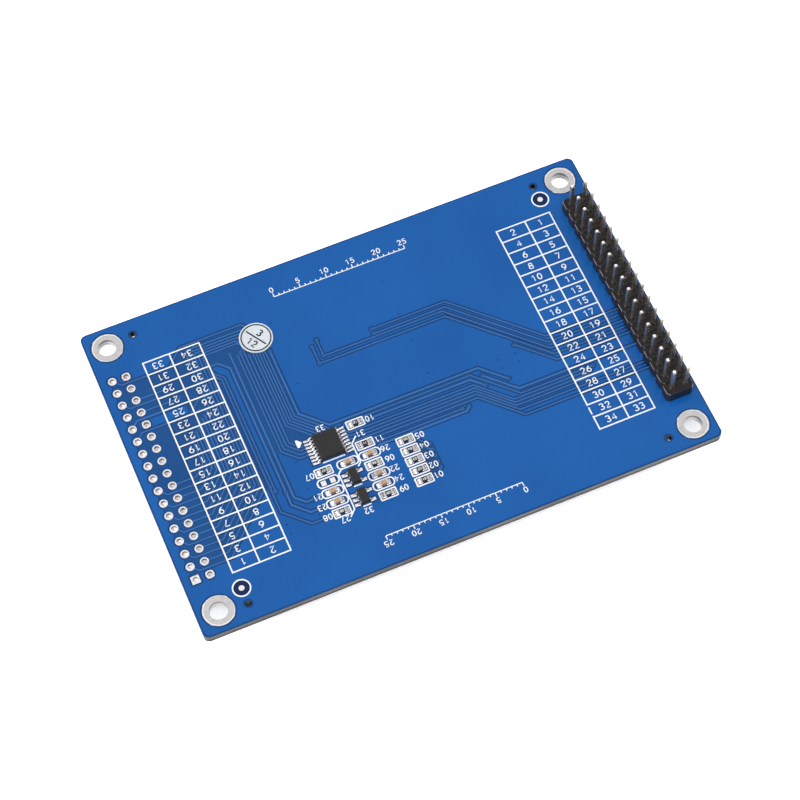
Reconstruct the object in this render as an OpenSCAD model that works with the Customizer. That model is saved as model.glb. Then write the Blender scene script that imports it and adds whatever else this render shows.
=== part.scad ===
// Colour display module: a circuit board with a touch display on its front and, on its back, a two-row pin
// header, an empty footprint for a second header, and the touch and power circuits.
// X runs along the board, Y across it and Z out of its back. The display faces down and rests on Z = 0.

/* [Circuit board] */
// Length of the board, along X
board_len = 94.6; // [92:0.1:110]
// Width of the board, along Y
board_wid = 61.8; // [60:0.1:76]
// Thickness of the board
board_t = 1.6; // [0.8:0.1:2.4]
// Radius of the board's corners
board_corner_r = 1.1; // [0.5:0.1:3]
// Height of the copper, with the solder mask over it, above each face
copper_t = 0.04; // [0.02:0.01:0.1]
// Thickness of the white print
print_t = 0.03; // [0.02:0.01:0.06]
// Width of the white printed lines
print_line = 0.25; // [0.15:0.05:0.35]
// Width of a signal track
track_w = 0.24; // [0.15:0.01:0.26]
// Width of a supply track
supply_w = 0.36; // [0.25:0.01:0.42]
// Gap between a track or a pad and the copper round it
copper_gap = 0.28; // [0.15:0.01:0.3]

/* [Mounting holes] */
// Finished diameter of the four mounting holes
mount_hole_d = 3.2; // [2.2:0.1:3.6]
// Diameter of the bare ring round each mounting hole
mount_ring_d = 5.5; // [4.6:0.1:6]
// Distance from the board's edges to the centres of the mounting holes
mount_edge = 3.9; // [3.6:0.1:4.6]
// Diameter of the four bare tooling holes
tooling_hole_d = 1.1; // [0.8:0.1:1.5]

/* [Pin header] */
// Distance from pin to pin, along a row and across it
pin_pitch = 2.54; // [2.3:0.01:2.6]
// Distance from the board's ends to the outer columns of pads
pad_edge = 2.4; // [2:0.1:3]
// Width of a square pin
pin_w = 0.64; // [0.5:0.02:0.66]
// Height of the pins' tips above the board's back
pin_rise = 8.35; // [6:0.05:12]
// Length of the pins' tails below the board's front
pin_tail = 1.3; // [1:0.1:2]
// Height of the header's moulded strip
strip_h = 2.54; // [2:0.02:3.5]
// Depth of the notches between the strip's segments
strip_notch = 0.5; // [0.2:0.05:0.7]
// Depth of the grooves across the strip's top, between its segments
strip_groove = 0.22; // [0.1:0.02:0.4]
// Finished diameter of the header's plated holes
pad_hole_d = 1.0; // [0.95:0.01:1.15]
// Diameter of the header's pads
pad_d = 1.5; // [1.4:0.05:1.7]

/* [Display] */
// Length of the display unit
display_len = 77.7; // [77:0.1:80]
// Width of the display unit
display_wid = 55.1; // [54.4:0.1:58]
// Border between the picture and the display's end with the driver chip
chip_border = 9.05; // [8.9:0.05:10]
// Border between the picture and the display's other end
far_border = 3.85; // [3.6:0.05:4.6]
// Border between the picture and each of the display's long sides
side_border = 3.25; // [3:0.05:4]
// Thickness of the touch panel's film
touch_film_t = 0.2; // [0.15:0.01:0.3]
// Thickness of the touch panel's glass
touch_glass_t = 1.0; // [0.7:0.05:1.8]
// Thickness of the adhesive gasket behind the touch panel
gasket_t = 0.2; // [0.1:0.01:0.5]
// Thickness of each polarizer
polarizer_t = 0.2; // [0.1:0.01:0.3]
// Thickness of each of the display's two glasses
cell_glass_t = 0.5; // [0.3:0.05:0.7]
// Thickness of each of the two prism sheets
prism_t = 0.15; // [0.1:0.01:0.2]
// Thickness of the diffuser sheet
diffuser_t = 0.1; // [0.05:0.01:0.2]
// Thickness of the light guide
light_guide_t = 0.6; // [0.5:0.05:1]
// Thickness of the reflector sheet
reflector_t = 0.1; // [0.05:0.01:0.2]
// Thickness of the steel tray's sheet
tray_t = 0.2; // [0.15:0.01:0.3]
// Thickness of the foam tape between the display and the board
foam_t = 0.8; // [0.6:0.05:1.5]
// Thickness of the flexible circuits
flex_t = 0.1; // [0.06:0.01:0.15]
// Width of the display's flexible circuit
display_flex_w = 33; // [28:0.5:34]
// Width of the touch panel's flexible tail
touch_flex_w = 6; // [4:0.5:6]

/* [Components] */
// Length of the chip resistors and capacitors
chip_len = 1.6; // [1.4:0.05:1.7]
// Width of the chip resistors and capacitors
chip_wid = 0.8; // [0.6:0.05:0.95]
// Height of the chip resistors
resistor_h = 0.45; // [0.3:0.05:0.6]
// Height of the chip capacitors
capacitor_h = 0.8; // [0.5:0.05:1]
// Length of a chip component's metal end
chip_end = 0.32; // [0.2:0.02:0.4]
// Distance between neighbouring chip components in a column
chip_step = 2.05; // [2:0.05:2.2]
// Height of the moulded packages' tops above the board
package_top = 1.15; // [0.9:0.05:1.4]
// Thickness of the packages' leads
lead_t = 0.15; // [0.1:0.01:0.2]
// Diameter of the round inspection sticker
sticker_d = 6; // [4:0.1:6.6]
// Thickness of the inspection sticker
sticker_t = 0.1; // [0.05:0.01:0.2]

/* [Hidden] */
resistor_numbers = [for (n = [1 : 11]) n];
capacitor_numbers = [1, 2, 3, 4, 6, 7]; // the fifth footprint is bare

eps = 0.01; // overshoot of a cut past the face that it opens
round_fn = 48; // smoothness of true circles

// Heights of the display's layers, from its face up
z_touch_glass = touch_film_t;
z_gasket = z_touch_glass + touch_glass_t;
z_frame = z_gasket + gasket_t;
z_color_glass = z_frame + polarizer_t;
z_tft_glass = z_color_glass + cell_glass_t;
z_shelf = z_tft_glass + cell_glass_t;
z_prism = z_shelf + polarizer_t;
z_diffuser = z_prism + 2 * prism_t;
z_light_guide = z_diffuser + diffuser_t;
z_reflector = z_light_guide + light_guide_t;
z_tray = z_reflector + reflector_t;
z_foam = z_tray + tray_t;
z_front = z_foam + foam_t; // the board's front face
z_back = z_front + board_t; // the board's back face
z_pads = z_back + copper_t; // top of the copper and the pads
z_solder_front = z_front - copper_t;

// Board features
plating_t = 0.04; // wall of a plated hole
mount_x = board_len / 2 - mount_edge;
mount_y = board_wid / 2 - mount_edge;
corner_spots = [for (x = [-1, 1], y = [-1, 1]) [x * mount_x, y * mount_y]];
tooling_inset = [5.0, -0.75]; // from a mounting hole, inward
fiducial_inset = [4.95, 2.27]; // from a mounting hole, inward
fiducial_d = 1.0;
fiducial_ring_d = 3.0;
fiducial_spots = [for (s = [-1, 1]) s * [mount_x - fiducial_inset.x, mount_y - fiducial_inset.y]];
tooling_spots = [for (x = [-1, 1], y = [-1, 1])
    [x * (mount_x - tooling_inset.x), y * (mount_y - tooling_inset.y)]];

// Header grid: row 0 is the one at the highest Y
pin_rows = 17;
outer_x = board_len / 2 - pad_edge;
inner_x = outer_x - pin_pitch;
function row_y(row) = ((pin_rows - 1) / 2 - row) * pin_pitch;
ground_rows = [0, 4, 16]; // inner pads joined to the ground copper by four spokes
mirrored_ground_rows = [for (r = ground_rows) pin_rows - 1 - r];
spoke_w = 0.32;
spoke_reach = 0.07; // how far the tinned part of a spoke shows beyond its pad

// Pin tables: printed boxes beside each header, one row for each pair of pins
table_outer_x = inner_x - 1.4 * pin_pitch;
table_mid_x = table_outer_x - 1.91 * pin_pitch;
table_inner_x = table_mid_x - 2.185 * pin_pitch;
table_top_y = row_y(-0.5);
table_bottom_y = row_y(pin_rows - 0.5);

// Chip components: three columns, each with its rows counted down from the first
chip_y = -10.3;
column_x = [-17.9, -9.45, -2.85];
function chip_row_y(row) = chip_y - row * chip_step;
upper_resistor_y = -3.9;
lower_resistor_y = -8.2;
bridge_capacitor_x = -13.5;
resistor_spots = [
    [column_x[2], chip_row_y(4)], [column_x[2], chip_row_y(3)], [column_x[2], chip_row_y(2)],
    [column_x[2], chip_row_y(1)], [column_x[2], chip_row_y(0)], [column_x[1], chip_row_y(1)],
    [column_x[0], chip_row_y(0)], [column_x[0], chip_row_y(4)], [column_x[1], chip_row_y(4)],
    [column_x[1], upper_resistor_y], [column_x[1], lower_resistor_y]];
capacitor_spots = [
    [column_x[0], chip_row_y(2)], [column_x[1], chip_row_y(2)], [column_x[0], chip_row_y(3)],
    [column_x[1], chip_row_y(3)], [column_x[1], chip_row_y(0)], [bridge_capacitor_x, chip_row_y(0)]];
bare_capacitor_spot = [column_x[0], chip_row_y(1)]; // a footprint left without its capacitor
chip_spots = concat(resistor_spots, capacitor_spots);
chip_pad = [0.9, 0.95];
chip_pad_x = chip_len / 2 + 0.02; // from a chip's centre to its pads' centres
resistor_box = [3.0, 1.55];
capacitor_box = [3.75, 1.55];

// Moulded packages: centre, body size, lead rows on the -X and the +X side
tssop_spot = [-15.3, -6.05];
tssop_body = [4.4, 5.0];
tssop_pitch = 0.65;
tssop_leads = [for (n = [0 : 7]) (3.5 - n) * tssop_pitch];
tssop_reach = 3.2; // from the centre to the leads' toes
sot_spots = [[-13.55, -13.35], [-13.55, -17.4]];
sot_body = [1.6, 2.9];
sot_pitch = 0.95;
sot_three = [sot_pitch, 0, -sot_pitch];
sot_two = [sot_pitch, -sot_pitch];
sot_reach = 1.45;
package_gap = 0.1; // under a package's body
toe_len = 0.45;

// Display parts
touch_inset = 0.4; // touch panel inside the display's outline
cell_border = 1.3; // glass beyond the picture on each side
ledge = 3.2; // strip of the rear glass that carries the driver chip
fit_gap = 0.2; // between the frame's pockets and what sits in them
picture_len = display_len - chip_border - far_border;
picture_wid = display_wid - 2 * side_border;
picture_x = (chip_border - far_border) / 2;
color_glass_x = [picture_x - picture_len / 2 - cell_border, picture_x + picture_len / 2 + cell_border];
tft_glass_x = [color_glass_x[0] - ledge, color_glass_x[1]];
cell_y = picture_wid / 2 + cell_border;
polarizer_border = 0.8; // polarizer beyond the picture
frame_x = display_len / 2 - tray_t;
frame_y = display_wid / 2 - tray_t;
light_guide_x = [color_glass_x[0] - 1.9, color_glass_x[1] - 0.1];
led_count = 6;
led_step = cell_y * 0.31;
led_size = [light_guide_t, led_step * 0.375, light_guide_t];
strip_x = light_guide_x[0] - 2.75; // far edge of the LED strip
flex_slot_h = 0.5;
flex_bend_x = -display_len / 2 - 0.25; // where the flexible circuits turn
flex_run_z = z_front - 0.45;
flex_pad_x = -22; // start of the display flex's soldered end
flex_pad_len = 2.5;
flex_lines = 40;
touch_flex_y = 21.5;
touch_pad_x = -34.5;
touch_lines = 4;

// ---- Helpers ----

function unit(v) = v / norm(v);

// Both ends of a span of the given half length
function around(middle, half) = [middle - half, middle + half];

// Sideways step at point i of a path, mitred where the path bends
function side_step(path, i, half) =
    let (last = len(path) - 1,
         before = unit(path[max(i, 1)] - path[max(i - 1, 0)]),
         after = unit(path[min(i + 1, last)] - path[min(i, last - 1)]),
         middle = unit(before + after))
    half / (middle * before) * [-middle.y, middle.x];

// Outline of a band of constant width along a path
function band(path, width) = concat(
    [for (i = [0 : len(path) - 1]) path[i] + side_step(path, i, width / 2)],
    [for (i = [len(path) - 1 : -1 : 0]) path[i] - side_step(path, i, width / 2)]);

// Points along an arc, both ends included
function arc(centre, radius, from, to, steps) =
    [for (i = [0 : steps]) let (a = from + (to - from) * i / steps) centre + radius * [cos(a), sin(a)]];

module at(spot, z) {
    translate([spot.x, spot.y, z]) children();
}

module box(x, y, z) {
    translate([x[0], y[0], z[0]]) cube([x[1] - x[0], y[1] - y[0], z[1] - z[0]]);
}

module layer(z, thickness) {
    translate([0, 0, z]) linear_extrude(thickness) children();
}

// Rectangle with round corners, centred, from true arcs
module round_rect(size, r) {
    square([size.x - 2 * r, size.y], center = true);
    square([size.x, size.y - 2 * r], center = true);
    for (x = [-1, 1], y = [-1, 1])
        translate([x * (size.x / 2 - r), y * (size.y / 2 - r)]) circle(r, $fn = round_fn);
}

module for_each_pad(side) {
    for (row = [0 : pin_rows - 1], x = [inner_x, outer_x])
        translate([side * x, row_y(row)]) children();
}

// ---- Board ----

module circuit_board() {
    barrel_d = pad_hole_d + 2 * plating_t;
    color("royalblue") difference() {
        layer(z_front, board_t) round_rect([board_len, board_wid], board_corner_r);
        for (side = [-1, 1])
            translate([0, 0, z_front - eps]) for_each_pad(side)
                cylinder(h = board_t + 2 * eps, d = barrel_d, $fn = round_fn);
        for (spot = corner_spots)
            at(spot, z_front - eps)
                cylinder(h = board_t + 2 * eps, d = mount_hole_d + 2 * plating_t, $fn = round_fn);
        for (spot = tooling_spots)
            at(spot, z_front - eps) cylinder(h = board_t + 2 * eps, d = tooling_hole_d, $fn = round_fn);
    }
}

// Four short arms at 45 degrees, as on a ground pad
module spokes(reach, width) {
    for (a = [45, 135]) rotate(a) square([2 * reach, width], center = true);
}

module mounting_hole_plating() {
    color("gainsboro") for (spot = corner_spots) at(spot, 0) difference() {
        union() {
            for (z = [z_solder_front, z_back]) layer(z, copper_t) {
                circle(d = mount_ring_d, $fn = round_fn);
                spokes(mount_ring_d / 2 + spoke_reach, 2 * spoke_w);
            }
            layer(z_solder_front, board_t + 2 * copper_t)
                circle(d = mount_hole_d + 2 * plating_t, $fn = round_fn);
        }
        translate([0, 0, z_solder_front - eps])
            cylinder(h = board_t + 2 * copper_t + 2 * eps, d = mount_hole_d, $fn = round_fn);
    }
}

module pad_shape(square_pad) {
    if (square_pad) square(pad_d, center = true);
    else circle(d = pad_d, $fn = round_fn);
}

// One plated hole: a barrel with a pad on each face
module plated_hole(square_pad, ground) {
    difference() {
        union() {
            for (z = [z_solder_front, z_back]) layer(z, copper_t) {
                pad_shape(square_pad);
                if (ground) spokes(pad_d / 2 + spoke_reach, spoke_w);
            }
            layer(z_solder_front, board_t + 2 * copper_t)
                circle(d = pad_hole_d + 2 * plating_t, $fn = round_fn);
        }
        translate([0, 0, z_solder_front - eps])
            cylinder(h = board_t + 2 * copper_t + 2 * eps, d = pad_hole_d, $fn = round_fn);
    }
}

// The 34 plated holes of one header; pin 1 has the square pad
module header_plating(side, first_row, grounds) {
    for (row = [0 : pin_rows - 1]) {
        translate([side * outer_x, row_y(row)]) plated_hole(row == first_row, false);
        translate([side * inner_x, row_y(row)]) plated_hole(false, len(search(row, grounds)) > 0);
    }
}

module empty_header_plating() {
    color("white") header_plating(-1, pin_rows - 1, ground_rows);
}

module fitted_header_plating() {
    color("white") header_plating(1, 0, mirrored_ground_rows);
}

module fiducial_pads() {
    color("silver") for (spot = fiducial_spots) layer(z_back, copper_t)
        translate(spot) circle(d = fiducial_d, $fn = round_fn);
}

// ---- Copper ----

bus_x0 = -table_inner_x; // inner edge of the left table, from which the bus beside it is laid out
via_d = 0.62;
via_hole_d = 0.28;

function lead_y(n) = tssop_spot.y + tssop_leads[n - 1]; // the touch controller's nth lead from the top
right_toe_x = tssop_spot.x + tssop_reach + 0.4;
left_toe_x = tssop_spot.x - tssop_reach - 0.4;
chip_end_x = [for (x = column_x) x - chip_pad_x]; // a column's pads on the -X side
column_pad_x = column_x[1] + chip_pad_x;

// From a start at y0 along X, then down at 45 degrees from bend_x to y1, and on along X to x1
function level_drop(x0, y0, bend_x, y1, x1) = [[x0, y0], [bend_x, y0], [bend_x + y0 - y1, y1], [x1, y1]];

// Down at x from y0, then at 45 degrees from bend_y to y1, and on along X to x1
function down_level(x, y0, bend_y, y1, x1) = [[x, y0], [x, bend_y], [x + bend_y - y1, y1], [x1, y1]];

// Lines from the touch controller's leads, and one from the resistor beside it, to the right header
bundle_leads = [2, 3, 5, 6];
bundle_y = [-5.15, -5.76, lead_y(5), lead_y(6), -7.72];
bundle_end_y = [-10.47, -11.1, -11.74, row_y(13), row_y(13.5)];
bundle_bend_x = [12.1, 12.05, 11.95, 11.9, 11.8];
bundle_end_x = [31.8, 31.0, 30.2, inner_x, outer_x - pin_pitch / 2];
function bundle_start(n) = n < len(bundle_leads)
    ? [[right_toe_x, lead_y(bundle_leads[n])]]
    : [[column_pad_x, lower_resistor_y], [-8.1, lower_resistor_y]];
function bundle_route(n) =
    let (start = bundle_start(n), bend = start[len(start) - 1], drop = abs(bend.y - bundle_y[n]))
    concat(start, level_drop(bend.x + max(drop, 0.1), bundle_y[n], bundle_bend_x[n], bundle_end_y[n],
                             bundle_end_x[n]));
controller_routes = concat([for (n = [0 : 3]) bundle_route(n)], [
    concat(bundle_route(4), [[outer_x, row_y(13)]]),
    concat([[right_toe_x, lead_y(1)]], level_drop(-11.13, -3.2, 12.35, -9.85, 32.6)),
    [[-6.9, -8.65], [8.5, -8.65]]]);

// Five lines that cross the board to the right header, and the stubs that feed two of them
function to_inner_pad(x0, y0, bend_x, row) = level_drop(x0, y0, bend_x, row_y(row), inner_x);
function to_outer_pad(x0, y0, bend_x, row) = concat(
    level_drop(x0, y0, bend_x, row_y(row + 0.5), outer_x - pin_pitch / 2), [[outer_x, row_y(row)]]);
header_routes = [
    to_outer_pad(0.3, 12.1, 14.2, 8),
    to_inner_pad(0.3, 11.1, 13.8, 9),
    to_outer_pad(-9.4, 10.5, 13.05, 9),
    to_inner_pad(-10.6, 9.35, 13.05, 10),
    to_outer_pad(21.8, -0.75, 21.9, 10),
    [[-9.4, 10.5], [-9.4, 13.9]],
    [[-10.6, 9.35], [-10.6, 12.95]]];

// Data lines: from the left header's pads, under the table at 45 degrees, then up side by side
data_lines = 14;
data_bend_x = 0.8 - table_outer_x;
function data_y(n) = row_y(pin_rows - 1.5) + n * pin_pitch / 2;
function data_x(n) = bus_x0 + 0.15 - 0.61 * n;
function data_line(n, end) = concat(
    n % 2 == 1 ? [[-inner_x, data_y(n)]]
               : [[-outer_x, data_y(n) + pin_pitch / 2], [-outer_x + pin_pitch / 2, data_y(n)]],
    [[data_bend_x, data_y(n)], [data_x(n), data_y(n) + data_x(n) - data_bend_x]],
    end);
short_lines = [0, 6, 7, 8, 9, 10, 11, 12, 13];
function data_via(n) = [data_x(n), n == 0 ? 12.7 : 12 - 0.6 * n];

// Six lines go over the top of the bus, turn down under the sticker and run to the touch controller
over_top_y = [18.8, 19.35, 19.9, 20.45, 21.05, 22.05];
over_turn = [0.5, 1.95, 1.95, 1.95, 1.95, 1.95]; // length of each corner that is cut off at 45 degrees
corner_line_x = -outer_x + pin_pitch / 2;
corner_rise_x = bus_x0 - 3.45; // where the line from the corner pad has risen over the others
function bus_x(n) = n == 0 ? bus_x0 + 6.54 : bus_x0 + 7.39 + n * 0.51;
function rise(x, n) = [[x, over_top_y[n] - 0.4], [x + 0.4, over_top_y[n]]];
function over_top(n) = [[bus_x(n) - over_turn[n], over_top_y[n]], [bus_x(n), over_top_y[n] - over_turn[n]]];
function under_body(n) =
    let (bend_y = 0.08 + n * 0.29)
    [[bus_x(n), bend_y], [bus_x(n) + bend_y + 3.75, -3.75]];
function to_lead(x, top_y, n) = down_level(x, top_y, -2.15 - 0.36 * n, lead_y(n), left_toe_x);
bus_routes = concat(
    [data_line(1, concat(rise(data_x(1), 0), [over_top(0)[0]],
                         to_lead(bus_x(0), over_top_y[0] - over_turn[0], 3)))],
    [for (n = [1 : 4]) data_line(n + 1, concat(rise(data_x(n + 1), n), over_top(n), under_body(n)))],
    [concat([[-outer_x, row_y(0)], [corner_line_x, row_y(0.5)],
             [corner_rise_x - over_top_y[5] + row_y(0.5), row_y(0.5)], [corner_rise_x, over_top_y[5]]],
            over_top(5), under_body(5))],
    [for (n = short_lines) data_line(n, [data_via(n)])]);

// Lines that start from vias above the bus and run down it
via_bus_x = [bus_x0 + 5.3, bus_x0 + 5.92, bus_x0 + 7.16];
via_bus_top = [16.4, 16.95, 15.6];
via_bus_lead = [5, 4, 2];
via_bus_routes = [for (n = [0 : 2]) to_lead(via_bus_x[n], via_bus_top[n], via_bus_lead[n])];
chip_bus_x = bus_x0 + 1.05;
spare_bus_x = bus_x0 + 1.65;
chip_bus_routes = [
    concat([[bus_x0 + 0.15, 14.1]], down_level(chip_bus_x, 13.2, -14.45, chip_row_y(4), chip_end_x[0])),
    [[bus_x0 + 0.15, 14.85], [spare_bus_x, 13.35], [spare_bus_x, -10.5]]];

// Short lines from the upper pads of the left header to vias under the table
pad_routes = [
    [[-inner_x, row_y(2)], [-36, row_y(2)]],
    [[-outer_x, row_y(2)], [-outer_x + 1.1, row_y(2) - 1.1], [-36.6, row_y(2) - 1.1]],
    [[-inner_x, row_y(3)], [-35.4, row_y(3)]],
    [[-outer_x, row_y(5)], [-outer_x + 1.33, row_y(5) + 1.33], [-34.7, row_y(5) + 1.33],
     [-32.4, row_y(5) + 3.63]]];

// Short lines from the first five resistors down to a close row of vias
resistor_via_x = 0.65;
function resistor_via_y(row) = chip_row_y(2) - 0.6 + (2 - row) * 0.6 * chip_step;
resistor_routes = [for (row = [0 : 4])
    let (y = chip_row_y(row), drop = abs(y - resistor_via_y(row)))
    [[column_x[2] + chip_pad_x, y], [resistor_via_x - drop, y], [resistor_via_x, resistor_via_y(row)]]];

signal_routes = concat(controller_routes, header_routes, bus_routes, via_bus_routes, chip_bus_routes,
    pad_routes, resistor_routes);

// Wider lines that carry the supply
supply_routes = [
    concat([[bus_x0 + 0.25, 16.4], [bus_x0 + 1.5, 16.4]],
           down_level(bus_x0 + 3.2, 14.7, -13.95, chip_row_y(3), chip_end_x[0])),
    down_level(bus_x0 + 4.1, 17.3, -12.8, chip_row_y(2), chip_end_x[0]),
    concat([[bus_x0 + 10.75, 15.1], [bus_x0 + 10.75, 1.65]],
           level_drop(bus_x0 + 14.8, -2.4, 14.15, -6.35, 18.15)),
    [[column_pad_x, upper_resistor_y], [-7.9, upper_resistor_y], [-7.8, -4.0], [12.0, -4.0], [14.0, -6.0]],
    [[14.3, -4.1], [14.3 - 4.1 - row_y(11.5), row_y(11.5)], [outer_x - pin_pitch / 2, row_y(11.5)],
     [outer_x, row_y(11)]],
    [[column_pad_x, chip_row_y(0)], [-8.3, chip_row_y(0)], [-7.35, -9.35], [9.05, -9.35], [9.75, -8.65]],
    [[-outer_x, row_y(4)], [corner_line_x, row_y(3.5)], [-36, row_y(3.5)]]];

// Vias at the ends of routes, and three along them
route_vias = concat(
    [for (path = header_routes) path[0]],
    [for (n = [5, 6]) header_routes[n][1]],
    [for (n = [0 : 2]) [bundle_end_x[n], bundle_end_y[n]]],
    [for (n = short_lines) data_via(n)],
    [for (n = [0 : 2]) [via_bus_x[n], via_bus_top[n]]],
    [for (path = concat(pad_routes, [supply_routes[6]])) path[len(path) - 1]],
    [for (path = chip_bus_routes) path[0]],
    [for (path = resistor_routes) path[2]],
    [for (n = [0 : 2]) supply_routes[n][0]],
    [[spare_bus_x, -10.5], [chip_bus_x, -9.6], [bus_x0 + 3.2, -11.4], [-21.5, chip_row_y(2)], [-6.9, -8.65],
     [8.5, -8.65], [9.75, -8.65], [32.6, -9.85], [18.15, -6.35], [14.0, -6.0], [14.3, -4.1]]);

// Vias that join the ground copper on both faces
ground_vias = [[-15.5, 20.3], [-15.5, 7.2], [-15.5, 0.2], [5.8, 20.3], [5.8, 13.0], [5.8, 7.2], [5.8, 0.2],
    [18.0, -2.3], [18.0, -4.1], [21.3, -2.3], [21.3, -4.1], [-27.3, -17.0], [-27.3, -18.8],
    [-30.4, -17.0], [-30.4, -18.8], [-21.5, -6.8], [-21.6, -12.3], [-21.6, -17.5]];

// Area round the left header, under the left table and along the bus that has no ground copper
module bare_area() {
    left_x = -outer_x - 0.5;
    right_x = bus_x0 + 0.3;
    high_y = over_top_y[5] + 0.4;
    low_y = data_y(0) - 0.35;
    polygon([[left_x, row_y(0.5) + 0.4], [corner_rise_x - high_y + row_y(0.5) + 0.2, row_y(0.5) + 0.4],
        [corner_rise_x - 0.2, high_y],
        [right_x, high_y], [right_x, -9.8], [data_bend_x + 0.25, low_y], [left_x, low_y]]);
    edge_x = bus_x(5) + 1.2;
    left_edge_x = bus_x0 + 3.8;
    slope_top_y = 1.6;
    slope_foot_y = -2.3;
    slope_foot_x = edge_x + slope_top_y - slope_foot_y;
    polygon([[right_x - 1, high_y], [-20.2, high_y], [edge_x, 19.5], [edge_x, slope_top_y],
        [slope_foot_x, slope_foot_y], [slope_foot_x, -3.4], [left_toe_x, -3.4], [left_toe_x, -6.65],
        [-20.95, -6.65], [left_edge_x + 1, -4.0], [left_edge_x, -4.0], [left_edge_x, 14.4],
        [left_edge_x - 2.3, 16.7], [right_x - 1, 16.7]]);
}

// Area without ground copper round the vias beside the first five resistors
module resistor_bare_area() {
    left_x = column_x[2] + chip_pad_x;
    right_x = resistor_via_x + via_d / 2 + copper_gap;
    polygon([[left_x, chip_row_y(0)], resistor_routes[0][1], [right_x, resistor_via_y(0)],
        [right_x, resistor_via_y(4)], resistor_routes[4][1], [left_x, chip_row_y(4)]]);
}

// Ground copper that reaches into the bare area beside the inner pad of row 4
module ground_island() {
    high_y = row_y(4) + 0.75;
    low_y = row_y(4) - 0.85;
    polygon([[-outer_x + 1.3, high_y], [bus_x0 - 6.4, high_y], [bus_x0 - 6.4, low_y],
        [-inner_x - 0.4, low_y], [-outer_x + 1.3, low_y + 0.45]]);
}

module chip_pad_pair(spot, grow) {
    for (s = [-1, 1]) translate([spot.x + s * chip_pad_x, spot.y])
        square([chip_pad.x + 2 * grow, chip_pad.y + 2 * grow], center = true);
}

// Pads of a moulded package's leads on one side
module lead_pads(spot, side, offsets, reach, size, grow) {
    for (y = offsets) translate([spot.x + side * reach, spot.y + y])
        square([size.x + 2 * grow, size.y + 2 * grow], center = true);
}

tssop_pad = [1.35, 0.38];
tssop_pad_x = 3.05;
sot_pad = [1.0, 0.55];
sot_pad_x = 1.4;

module every_component_pad(grow) {
    for (spot = concat(chip_spots, [bare_capacitor_spot])) chip_pad_pair(spot, grow);
    for (side = [-1, 1]) lead_pads(tssop_spot, side, tssop_leads, tssop_pad_x, tssop_pad, grow);
    for (spot = sot_spots) {
        lead_pads(spot, -1, sot_three, sot_pad_x, sot_pad, grow);
        lead_pads(spot, 1, sot_two, sot_pad_x, sot_pad, grow);
    }
}

module component_pads() {
    color("white") layer(z_back, copper_t) every_component_pad(0);
}

module header_pad_shapes(grow) {
    for (side = [-1, 1]) for_each_pad(side) circle(d = pad_d + 2 * grow, $fn = round_fn);
    for (side = [-1, 1]) translate([side * outer_x, side * row_y(0)])
        square(pad_d + 2 * grow, center = true);
    for (x = [[-1, ground_rows], [1, mirrored_ground_rows]], row = x[1])
        translate([x[0] * inner_x, row_y(row)]) spokes(pad_d / 2 + spoke_reach, spoke_w);
}

module ground_copper() {
    edge_gap = 0.25;
    color("dodgerblue") layer(z_back, copper_t) difference() {
        union() {
            difference() {
                round_rect([board_len - 2 * edge_gap, board_wid - 2 * edge_gap], board_corner_r);
                bare_area();
                resistor_bare_area();
            }
            ground_island();
        }
        for (path = signal_routes) polygon(band(path, track_w + 2 * copper_gap));
        for (path = supply_routes) polygon(band(path, supply_w + 2 * copper_gap));
        for (spot = route_vias) translate(spot) circle(d = via_d + 2 * copper_gap, $fn = 24);
        for (spot = ground_vias) translate(spot) circle(d = via_hole_d, $fn = 16);
        header_pad_shapes(copper_gap);
        every_component_pad(copper_gap);
        for (spot = corner_spots)
            translate(spot) circle(d = mount_ring_d + 2 * copper_gap, $fn = round_fn);
        for (spot = fiducial_spots)
            translate(spot) circle(d = fiducial_ring_d - print_line, $fn = round_fn);
        for (spot = tooling_spots)
            translate(spot) circle(d = tooling_hole_d + 2 * copper_gap, $fn = round_fn);
    }
}

module signal_tracks() {
    color("cornflowerblue") layer(z_back, copper_t) difference() {
        union() {
            for (path = signal_routes) polygon(band(path, track_w));
            for (path = supply_routes) polygon(band(path, supply_w));
            for (spot = route_vias) translate(spot) circle(d = via_d, $fn = 24);
        }
        header_pad_shapes(0);
        every_component_pad(0);
        for (spot = route_vias) translate(spot) circle(d = via_hole_d, $fn = 16);
    }
}

// ---- White print ----

module print_band(path) {
    polygon(band(path, print_line));
}

module rect_line(size, r) {
    difference() {
        round_rect([size.x + print_line, size.y + print_line], r + print_line / 2);
        round_rect([size.x - print_line, size.y - print_line], max(r - print_line / 2, 0.02));
    }
}

// A grid of boxes beside one header; a long outer frame with a middle line and row lines
module table_lines(side) {
    x_lines = [table_outer_x, table_mid_x, table_inner_x];
    color("white") layer(z_pads, print_t) union() {
        for (x = x_lines)
            print_band([[side * x, table_bottom_y - print_line / 2],
                [side * x, table_top_y + print_line / 2]]);
        for (row = [0 : pin_rows])
            print_band([[side * table_inner_x, row_y(row - 0.5)], [side * table_outer_x, row_y(row - 0.5)]]);
    }
}

module left_table_print() {
    table_lines(-1);
}

module right_table_print() {
    break_y = [row_y(14.5) - 0.34, row_y(15.5) + 0.4]; // two small breaks in the inner border
    difference() {
        table_lines(1);
        for (y = break_y)
            translate([table_inner_x, y, z_pads]) cube([2 * print_line, 0.35, 1], center = true);
    }
}

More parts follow.
